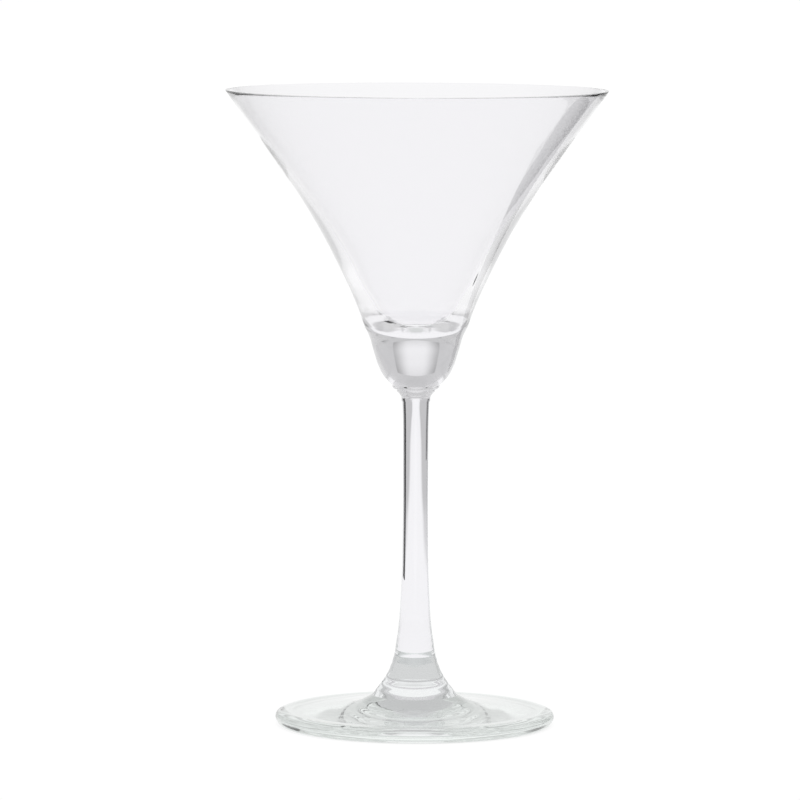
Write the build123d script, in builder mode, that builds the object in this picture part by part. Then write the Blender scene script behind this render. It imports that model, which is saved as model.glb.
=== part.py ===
from build123d import *
import os

# Martini glass of clear glass: a thin cone that holds the drink, a solid knop under it, a fine
# collar, a drawn stem and a flat foot. Each piece is turned about Z, and the foot stands on Z = 0.
# The pieces are fused while hot, so each seam is one surface that two pieces share.

# Heights of the rim and of the four seams
rim_height = 180.4
bowl_seam_height = 113.8
knop_seam_height = 96.9
collar_seam_height = 92.3
foot_seam_height = 8.4

# Radii of the rim, the seams and the foot
rim_radius = 54.25
bowl_seam_radius = 14.8
knop_seam_radius = 6.8
collar_radius = 4.05
stem_top_radius = 3.8
foot_seam_radius = 12.0
foot_radius = 39.9

# Bowl: the wall is 1.05 across at the rim and grows to a solid floor 3 thick on the axis
rim_wall = 1.05
rim_rounding = 0.12
bowl_floor_height = 112.4
bowl_base_height = 109.4

# Foot: a slightly domed disc with a rounded edge, hollowed a little inside its bearing ring
foot_edge_thickness = 3.7
foot_edge_undercut = 0.8
foot_edge_rounding = 1.3
bearing_ring_inner_radius = 34.5
underside_rise = 1.5

bead_bulge = 0.2
cove_depth = 0.3

# The rounded base of the bowl sits in a cup of the same shape in the top of the knop
bowl_base_centre = (0, bowl_base_height)
bowl_seam = (bowl_seam_radius, bowl_seam_height)
knop_seam = (knop_seam_radius, knop_seam_height)

# Bowl: the cone flares a little faster towards the rim, and its wall thins on the way up
with BuildPart() as bowl:
    with BuildSketch(Plane.XZ):
        with BuildLine():
            outside = Spline(
                bowl_seam,
                (16.2, 117.9),
                (21.4, 129.5),
                (30.6, 146.5),
                (42.1, 163.5),
                (rim_radius, rim_height),
                tangents=((0.3, 1), (0.72, 1)),
            )
            Line(outside @ 1, (rim_radius - rim_wall, rim_height))
            inside = Spline(
                (rim_radius - rim_wall, rim_height),
                (41.9, 165.0),
                (30.6, 149.3),
                (20.0, 133.2),
                (13.4, 121.6),
                (11.0, 117.6),
                (8.7, 114.8),
                (5.0, 113.0),
                (0, bowl_floor_height),
                tangents=((-0.72, -1), (-1, 0)),
            )
            Line(inside @ 1, bowl_base_centre)
            TangentArc(bowl_base_centre, outside @ 0, tangent=(1, 0))
        make_face()
    revolve(axis=Axis.Z)
    fillet(bowl.edges().group_by(Axis.Z)[-1], rim_rounding)

# Knop: a solid bulb that takes over the line of the bowl at a soft crease and closes to the neck
with BuildPart() as knop:
    with BuildSketch(Plane.XZ):
        with BuildLine():
            cup = TangentArc(bowl_base_centre, bowl_seam, tangent=(1, 0))
            bulb = Spline(
                cup @ 1,
                (13.35, 110.8),
                (12.0, 106.3),
                (10.5, 101.9),
                (9.1, 99.4),
                knop_seam,
            )
            Line(bulb @ 1, (0, knop_seam_height))
            Line((0, knop_seam_height), bowl_base_centre)
        make_face()
    revolve(axis=Axis.Z)

# Collar: two fine tooled beads over a cove, the wafer of glass that joins the knop to the stem
with BuildPart() as collar:
    with BuildSketch(Plane.XZ):
        with BuildLine():
            upper_bead = SagittaArc(knop_seam, (5.5, 95.6), bead_bulge)
            lower_bead = SagittaArc(upper_bead @ 1, (4.75, 94.5), bead_bulge)
            cove = SagittaArc(lower_bead @ 1, (collar_radius, collar_seam_height), -cove_depth)
            Line(cove @ 1, (0, collar_seam_height))
            Line((0, collar_seam_height), (0, knop_seam_height))
            Line((0, knop_seam_height), knop_seam)
        make_face()
    revolve(axis=Axis.Z)

# Stem: drawn down almost straight, then opened like a trumpet where it meets the foot
with BuildPart() as stem:
    with BuildSketch(Plane.XZ):
        with BuildLine():
            drawn_side = Spline(
                (stem_top_radius, collar_seam_height),
                (3.62, 87.0),
                (3.55, 76.0),
                (3.57, 58.0),
                (4.05, 37.5),
                (5.1, 25.0),
                (7.2, 15.8),
                (foot_seam_radius, foot_seam_height),
                tangents=((-0.06, -1), (1, -0.7)),
            )
            Line(drawn_side @ 1, (0, foot_seam_height))
            Line((0, foot_seam_height), (0, collar_seam_height))
            Line((0, collar_seam_height), drawn_side @ 0)
        make_face()
    revolve(axis=Axis.Z)

# Foot: the stem stands on its low hub, and it rests on the flat ring inside its rounded edge
with BuildPart() as foot:
    with BuildSketch(Plane.XZ):
        with BuildLine():
            top_face = Spline(
                (foot_seam_radius, foot_seam_height),
                (17.0, 6.1),
                (24.0, 4.9),
                (foot_radius, foot_edge_thickness),
                tangents=((1, -0.7), (1, -0.06)),
            )
            edge = Line(top_face @ 1, (foot_radius - foot_edge_undercut, 0))
            bearing_ring = Line(edge @ 1, (bearing_ring_inner_radius, 0))
            underside = TangentArc((0, underside_rise), bearing_ring @ 1, tangent=(1, 0))
            Line(underside @ 0, (0, foot_seam_height))
            Line((0, foot_seam_height), top_face @ 0)
        make_face()
    revolve(axis=Axis.Z)
    rims = foot.edges().filter_by(GeomType.CIRCLE).sort_by(SortBy.RADIUS)
    fillet(rims[-2:], foot_edge_rounding)

bowl.part.label = "bowl"
knop.part.label = "knop"
collar.part.label = "collar"
stem.part.label = "stem"
foot.part.label = "foot"

os.makedirs("parts", exist_ok=True)
export_step(bowl.part, "parts/bowl.step")
export_step(knop.part, "parts/knop.step")
export_step(collar.part, "parts/collar.step")
export_step(stem.part, "parts/stem.step")
export_step(foot.part, "parts/foot.step")
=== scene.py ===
import math

import bpy
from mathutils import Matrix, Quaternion, Vector


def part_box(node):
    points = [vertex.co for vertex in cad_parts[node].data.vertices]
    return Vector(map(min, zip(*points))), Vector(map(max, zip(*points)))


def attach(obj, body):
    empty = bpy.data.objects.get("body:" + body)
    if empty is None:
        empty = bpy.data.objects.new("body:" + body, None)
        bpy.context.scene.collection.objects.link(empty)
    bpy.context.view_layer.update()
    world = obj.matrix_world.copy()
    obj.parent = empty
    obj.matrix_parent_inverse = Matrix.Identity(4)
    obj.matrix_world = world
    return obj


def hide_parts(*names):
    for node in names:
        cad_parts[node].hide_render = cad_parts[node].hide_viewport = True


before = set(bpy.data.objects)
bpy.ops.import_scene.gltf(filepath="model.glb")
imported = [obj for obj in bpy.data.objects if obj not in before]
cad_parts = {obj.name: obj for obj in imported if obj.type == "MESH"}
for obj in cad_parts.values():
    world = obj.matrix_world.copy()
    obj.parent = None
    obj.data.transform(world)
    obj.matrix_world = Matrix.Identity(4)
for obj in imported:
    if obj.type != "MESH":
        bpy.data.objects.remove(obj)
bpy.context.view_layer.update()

bpy.ops.object.select_all(action="DESELECT")


# ---------------------------------------------------------------------------------------------
# Bowl. The cone that holds the drink, blown from one gather of clear glass. Its wall is about
# one millimetre at the fire-polished rim and thickens to a rounded base, which was pressed hot
# into the cup of the knop, so glass meets glass there with no surface between them.
# ---------------------------------------------------------------------------------------------
MM = 0.001
crease_angle = math.radians(35)
cup_facing = 0.84
flat_facing = 0.99
bowl_low, bowl_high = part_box("bowl")
rim_height = bowl_high[2] / MM
bowl_base_height = bowl_low[2] / MM
bowl_floor_height = bowl_base_height + 3.0
bowl_seam = (14.8, 113.8)


def draw_outline(name, points, resolution):
    """Half of a piece's outline, as a Bezier curve in the XZ plane. A point is (radius, height,
    kind): a smooth point is passed through in one sweep, a corner breaks the line, and a level
    point is passed through horizontally."""
    bpy.ops.curve.primitive_bezier_curve_add(location=(0, 0, 0))
    outline = bpy.context.object
    outline.name = name
    outline.data.resolution_u = resolution
    spline = outline.data.splines[0]
    spline.bezier_points.add(len(points) - 2)
    for bezier, (radius, height, kind) in zip(spline.bezier_points, points):
        bezier.co = (radius * MM, 0, height * MM)
        handle = {"smooth": "AUTO", "corner": "VECTOR", "level": "AUTO"}[kind]
        bezier.handle_left_type = handle
        bezier.handle_right_type = handle
    for index, (radius, height, kind) in enumerate(points):
        if kind == "level":
            bezier = spline.bezier_points[index]
            bezier.handle_left_type = "FREE"
            bezier.handle_right_type = "FREE"
            for side, neighbour in (("handle_left", index - 1), ("handle_right", index + 1)):
                if 0 <= neighbour < len(points):
                    reach = (points[neighbour][0] - radius) * MM / 3
                    setattr(bezier, side, bezier.co + Vector((reach, 0, 0)))
    return outline


def turn(outline, steps):
    """The piece that the outline makes when it is turned once about Z, closed and facing outwards."""
    bpy.ops.object.convert(target="MESH")
    bpy.ops.object.mode_set(mode="EDIT")
    bpy.ops.mesh.select_all(action="SELECT")
    bpy.ops.mesh.remove_doubles(threshold=0.002 * MM)
    bpy.ops.mesh.select_all(action="SELECT")
    bpy.ops.mesh.spin(steps=steps, angle=math.tau, center=(0, 0, 0), axis=(0, 0, 1))
    bpy.ops.mesh.select_all(action="SELECT")
    bpy.ops.mesh.remove_doubles(threshold=0.002 * MM)
    bpy.ops.mesh.normals_make_consistent(inside=False)
    bpy.ops.mesh.select_all(action="DESELECT")
    bpy.ops.object.mode_set(mode="OBJECT")
    bpy.ops.object.shade_smooth_by_angle(angle=crease_angle)
    return bpy.context.object


def finish_in_glass(piece, glass, is_fused):
    """Glass all over, and no surface on the faces that are fused to the next piece."""
    piece.data.materials.clear()
    piece.data.materials.append(glass)
    piece.data.materials.append(fused_seam)
    for face in piece.data.polygons:
        face.material_index = 1 if is_fused(face) else 0


def glass_with_painted_shade(name, tint_and_painted_shade, ripple_scale, ripple_depth):
    """Nearly clear glass with the faint ripple of a surface that set while it was hot. Its tint is
    darker than the glass really is: painted shade that greys it against the pale floor.
    """
    glass = bpy.data.materials.new(name)
    glass.use_nodes = True
    nodes, links = glass.node_tree.nodes, glass.node_tree.links
    shader = nodes["Principled BSDF"]
    shader.inputs["Base Color"].default_value = (*tint_and_painted_shade, 1)
    shader.inputs["Roughness"].default_value = 0.0
    shader.inputs["IOR"].default_value = 1.52
    shader.inputs["Transmission Weight"].default_value = 1.0
    place = nodes.new("ShaderNodeTexCoord")
    ripple = nodes.new("ShaderNodeTexNoise")
    ripple.inputs["Scale"].default_value = ripple_scale
    ripple.inputs["Detail"].default_value = 1.0
    bump = nodes.new("ShaderNodeBump")
    bump.inputs["Strength"].default_value = 1.0
    bump.inputs["Distance"].default_value = ripple_depth * MM
    links.new(place.outputs["Object"], ripple.inputs["Vector"])
    links.new(ripple.outputs["Fac"], bump.inputs["Height"])
    links.new(bump.outputs["Normal"], shader.inputs["Normal"])
    return glass


fused_seam = bpy.data.materials.new("fused_seam")
fused_seam.use_nodes = True
fused_seam.node_tree.nodes["Principled BSDF"].inputs["Alpha"].default_value = 0.0

# Painted shade: the bowl's tint is a little darker than its nearly clear glass.
bowl_glass = glass_with_painted_shade("bowl_glass", (0.945, 0.942, 0.955), 60, 0.02)

draw_outline("bowl_outline", [
    (0, bowl_floor_height, "level"),
    (5.0, 113.0, "smooth"),
    (8.7, 114.8, "smooth"),
    (11.0, 117.6, "smooth"),
    (13.4, 121.6, "smooth"),
    (20.0, 133.2, "smooth"),
    (30.6, 149.3, "smooth"),
    (41.9, 165.0, "smooth"),
    (53.1, 180.25, "smooth"),
    (53.25, rim_height, "corner"),
    (53.95, rim_height, "corner"),
    (54.1, 180.25, "smooth"),
    (42.1, 163.5, "smooth"),
    (30.6, 146.5, "smooth"),
    (21.4, 129.5, "smooth"),
    (16.2, 117.9, "smooth"),
    (*bowl_seam, "corner"),
    (0, bowl_base_height, "level"),
], 14)
bowl = turn(bpy.context.object, 192)
bowl.name = "bowl_visual"
finish_in_glass(bowl, bowl_glass, lambda face: face.normal.z < -cup_facing)
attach(bowl, "root")
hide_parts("bowl")


# ---------------------------------------------------------------------------------------------
# Knop. A solid bulb of clear glass that carries the cone. Its top is a cup that the base of the
# bowl was fused into, and it closes to a short neck.
# ---------------------------------------------------------------------------------------------
knop_seam = (6.8, 96.9)
# Painted shade: the tint of the knop, collar and stem is darker than their nearly clear glass.
stem_glass = glass_with_painted_shade("stem_glass", (0.90, 0.895, 0.92), 90, 0.015)

draw_outline("knop_outline", [
    (0, bowl_base_height, "level"),
    (*bowl_seam, "corner"),
    (13.35, 110.8, "smooth"),
    (12.0, 106.3, "smooth"),
    (10.5, 101.9, "smooth"),
    (9.1, 99.4, "smooth"),
    (*knop_seam, "corner"),
    (0, knop_seam[1], "corner"),
], 16)
knop = turn(bpy.context.object, 160)
knop.name = "knop_visual"
finish_in_glass(knop, stem_glass,
                lambda face: face.normal.z > cup_facing or face.normal.z < -flat_facing)
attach(knop, "root")
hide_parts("knop")


# ---------------------------------------------------------------------------------------------
# Collar. The small wafer of glass that joins the knop to the stem: two fine beads left by the
# tool that turned the neck, over a cove that ends in a tiny step on the stem.
# ---------------------------------------------------------------------------------------------
collar_radius, collar_seam_height = 4.05, 92.3

draw_outline("collar_outline", [
    (0, knop_seam[1], "corner"),
    (*knop_seam, "corner"),
    (6.5, 96.1, "smooth"),
    (5.5, 95.6, "corner"),
    (5.35, 95.1, "smooth"),
    (4.75, 94.5, "corner"),
    (4.15, 93.4, "smooth"),
    (collar_radius, collar_seam_height, "corner"),
    (0, collar_seam_height, "corner"),
], 8)
collar = turn(bpy.context.object, 128)
collar.name = "collar_visual"
finish_in_glass(collar, stem_glass, lambda face: abs(face.normal.z) > flat_facing)
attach(collar, "root")
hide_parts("collar")


# ---------------------------------------------------------------------------------------------
# Stem. Drawn down from a solid gather, so it is a little uneven and nearly straight, and opened
# like a trumpet where it was fused to the hub of the foot. The tool left faint rings on the flare.
# ---------------------------------------------------------------------------------------------
foot_seam = (12.0, 8.4)
ring_pitch, ring_depth = 2.0, 0.045
ring_top = 23.0

draw_outline("stem_outline", [
    (0, collar_seam_height, "corner"),
    (3.8, collar_seam_height, "corner"),
    (3.62, 87.0, "smooth"),
    (3.55, 76.0, "smooth"),
    (3.57, 58.0, "smooth"),
    (4.05, 37.5, "smooth"),
    (5.1, 25.0, "smooth"),
    (7.2, 15.8, "smooth"),
    (*foot_seam, "corner"),
    (0, foot_seam[1], "corner"),
], 20)
stem = turn(bpy.context.object, 128)
stem.name = "stem_visual"
for vertex in stem.data.vertices:
    height = vertex.co.z / MM
    radius = math.hypot(vertex.co.x, vertex.co.y) / MM
    if foot_seam[1] < height < ring_top and radius > 1:
        fading = math.sin(math.pi * (height - foot_seam[1]) / (ring_top - foot_seam[1]))
        ring = ring_depth * fading * math.sin(math.tau * height / ring_pitch)
        vertex.co.x *= 1 + ring / radius
        vertex.co.y *= 1 + ring / radius
finish_in_glass(stem, stem_glass, lambda face: abs(face.normal.z) > flat_facing)
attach(stem, "root")
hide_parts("stem")


# ---------------------------------------------------------------------------------------------
# Foot. A pressed and spun disc with a low hub, a gently sloped top and a rounded edge. It rests
# on a ground ring, and its underside is hollowed a little inside that ring.
# ---------------------------------------------------------------------------------------------
hub_top = (foot_seam[1] - 0.01) * MM
# The foot's faint green is the glass's own; its darkness is painted shade.
foot_glass = glass_with_painted_shade("foot_glass", (0.88, 0.92, 0.90), 70, 0.02)

draw_outline("foot_outline", [
    (0, foot_seam[1], "corner"),
    (*foot_seam, "corner"),
    (17.0, 6.1, "smooth"),
    (24.0, 4.9, "smooth"),
    (33.0, 4.1, "smooth"),
    (38.5, 3.75, "smooth"),
    (39.55, 2.9, "smooth"),
    (39.35, 1.2, "smooth"),
    (38.5, 0.2, "smooth"),
    (37.6, 0, "corner"),
    (34.5, 0, "corner"),
    (0, 1.5, "level"),
], 14)
foot = turn(bpy.context.object, 192)
foot.name = "foot_visual"
finish_in_glass(foot, foot_glass,
                lambda face: face.normal.z > flat_facing and face.center.z > hub_top)
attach(foot, "root")
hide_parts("foot")


# ---------------------------------------------------------------------------------------------
# Floor. A wide sheet that glows white, like a table of acrylic lit from below. Its glow is a painted
# pool of light: white near the glass and in the lane that runs back to the white backdrop, and fading
# into the pale grey of the room away from them. A painted shadow makes it a little dimmer under the
# foot, which turns some of the light aside.
# ---------------------------------------------------------------------------------------------
def fade(nodes, links, value, start, end):
    """0 where the value is below start, 1 where it is above end, and a soft change between."""
    step = nodes.new("ShaderNodeMapRange")
    step.interpolation_type = "SMOOTHSTEP"
    step.inputs["From Min"].default_value = start
    step.inputs["From Max"].default_value = end
    links.new(value, step.inputs["Value"])
    return step.outputs["Result"]


def measure(nodes, links, operation, first, second):
    """One step of arithmetic on two numbers or outputs."""
    step = nodes.new("ShaderNodeMath")
    step.operation = operation
    for socket, value in ((step.inputs[0], first), (step.inputs[1], second)):
        if isinstance(value, (int, float)):
            socket.default_value = value
        else:
            links.new(value, socket)
    return step.outputs["Value"]


def between(nodes, links, amount, low, high):
    """The low value where the amount is 0, and the high one where it is 1."""
    return measure(nodes, links, "ADD", measure(nodes, links, "MULTIPLY", amount, high - low), low)


def light_only(name):
    """A matt black material that gives off white light, and the socket that sets how much."""
    material = bpy.data.materials.new(name)
    material.use_nodes = True
    shader = material.node_tree.nodes["Principled BSDF"]
    shader.inputs["Base Color"].default_value = (0, 0, 0, 1)
    shader.inputs["Roughness"].default_value = 1.0
    shader.inputs["Specular IOR Level"].default_value = 0.0
    shader.inputs["Emission Color"].default_value = (1, 1, 1, 1)
    return material, shader.inputs["Emission Strength"]


floor_radius = 12
floor_height = -0.00005
# Painted pool of light: the floor glows white near the glass and in the lane, and fades to pale grey
# away from them.
table_light = 1.02
table_light_far = 0.60
fade_start, fade_end = 0.08, 0.60
lane_half_width = 0.13
lane_spread = 0.08
lane_edge = 0.12
# Painted shadow under the foot: the floor's glow is cut to this share there.
light_in_painted_shadow = 0.72
painted_shadow_inside, painted_shadow_outside = 0.034, 0.041

bpy.ops.mesh.primitive_circle_add(vertices=128, radius=floor_radius, fill_type="NGON",
                                  location=(0, 0, floor_height))
floor = bpy.context.object
floor.name = "floor"
floor_light, floor_strength = light_only("floor_light")
nodes, links = floor_light.node_tree.nodes, floor_light.node_tree.links
spot = nodes.new("ShaderNodeTexCoord").outputs["Object"]
place = nodes.new("ShaderNodeSeparateXYZ")
links.new(spot, place.inputs["Vector"])
reach = nodes.new("ShaderNodeVectorMath")
reach.operation = "LENGTH"
links.new(spot, reach.inputs[0])
aside = measure(nodes, links, "ABSOLUTE", place.outputs["X"], 0.0)
lane = measure(nodes, links, "MULTIPLY", place.outputs["Y"], lane_spread)
beyond_lane = measure(nodes, links, "SUBTRACT", aside, lane)
off_lane = fade(nodes, links, beyond_lane, lane_half_width, lane_half_width + lane_edge)
far_off = fade(nodes, links, reach.outputs["Value"], fade_start, fade_end)
faded = measure(nodes, links, "MULTIPLY", off_lane, far_off)
# Painted pool of light on the floor: white in the lane and near the glass, grey away from them.
table = between(nodes, links, faded, table_light, table_light_far)
# Painted shadow: the floor's glow dims under the foot and comes back just outside its edge.
clear_of_foot = fade(nodes, links, reach.outputs["Value"], painted_shadow_inside, painted_shadow_outside)
shade = between(nodes, links, clear_of_foot, light_in_painted_shadow, 1.0)
links.new(measure(nodes, links, "MULTIPLY", table, shade), floor_strength)
floor.data.materials.append(floor_light)


# ---------------------------------------------------------------------------------------------
# Studio. An even grey room, a little lighter in front, with a white backdrop behind the glass. A
# black card stands on the right and a grey one further off on the left, both out of view.
# They draw the dark lines that give clear glass its edges.
# ---------------------------------------------------------------------------------------------
room_behind = 0.60
room_in_front = 0.70
even_middle, even_foot, card_edge = 0.12, -0.35, 0.5

world = bpy.data.worlds.new("studio")
bpy.context.scene.world = world
world.use_nodes = True
nodes, links = world.node_tree.nodes, world.node_tree.links
direction = nodes.new("ShaderNodeSeparateXYZ")
links.new(nodes.new("ShaderNodeTexCoord").outputs["Generated"], direction.inputs["Vector"])
towards_back = fade(nodes, links, direction.outputs["Y"], -0.6, 0.6)
room = between(nodes, links, towards_back, room_in_front, room_behind)
links.new(room, nodes["Background"].inputs["Strength"])
nodes["Background"].inputs["Color"].default_value = (1, 1, 1, 1)


def studio_card(name, start, end, height, light, light_at_sides, light_at_top):
    """An upright card that stands on the floor between two points (x, y), in metres. Its light
    changes smoothly from the middle of its foot to its two sides and to its top."""
    middle = ((start[0] + end[0]) / 2, (start[1] + end[1]) / 2, height / 2)
    run = Vector((end[0] - start[0], end[1] - start[1]))
    upright = (math.pi / 2, 0, math.atan2(run.y, run.x))
    bpy.ops.mesh.primitive_plane_add(size=1, location=middle, rotation=upright)
    card = bpy.context.object
    card.name = name
    card.scale = (run.length, height, 1)
    material, strength = light_only(name)
    nodes, links = material.node_tree.nodes, material.node_tree.links
    across = nodes.new("ShaderNodeSeparateXYZ")
    links.new(nodes.new("ShaderNodeTexCoord").outputs["Object"], across.inputs["Vector"])
    off_middle = measure(nodes, links, "ABSOLUTE", across.outputs["X"], 0.0)
    sideways = fade(nodes, links, off_middle, even_middle, card_edge)
    by_side = between(nodes, links, sideways, light, light_at_sides)
    upwards = fade(nodes, links, across.outputs["Y"], even_foot, card_edge)
    by_height = between(nodes, links, upwards, 0.0, light_at_top - light)
    links.new(measure(nodes, links, "ADD", by_side, by_height), strength)
    card.data.materials.append(material)


studio_card("white_backdrop", (-2.6, 6.0), (2.6, 6.0), 3.0, 1.01, room_behind, 0.80)
studio_card("black_card_right", (0.141, 0.175), (0.192, 0.122), 0.17, 0.0, 0.0, 0.0)
studio_card("grey_card_left", (-0.70, 0.36), (-0.50, 0.56), 0.20, 0.15, 0.45, 0.15)


# ---------------------------------------------------------------------------------------------
# Camera. A long lens a little above the rim, turned by less than half a degree as it was held.
# ---------------------------------------------------------------------------------------------
camera_data = bpy.data.cameras.new("camera")
camera = bpy.data.objects.new("camera", camera_data)
bpy.context.scene.collection.objects.link(camera)
bpy.context.scene.camera = camera
camera_data.lens = 263.6
camera_data.sensor_width = 36
camera.location = (-0.00450, -1.653, 0.2480)
look = Vector((-0.00450, 0, 0.09254)) - camera.location
camera.rotation_mode = "QUATERNION"
camera_roll = Quaternion(look.normalized(), math.radians(-0.22))
camera.rotation_quaternion = camera_roll @ look.to_track_quat("-Z", "Y")

# Light has to cross many glass surfaces, and plain white must stay plain white.
scene = bpy.context.scene
scene.view_settings.view_transform = "Standard"
scene.cycles.max_bounces = 96
scene.cycles.transmission_bounces = 96
scene.cycles.glossy_bounces = 96
scene.cycles.transparent_max_bounces = 32
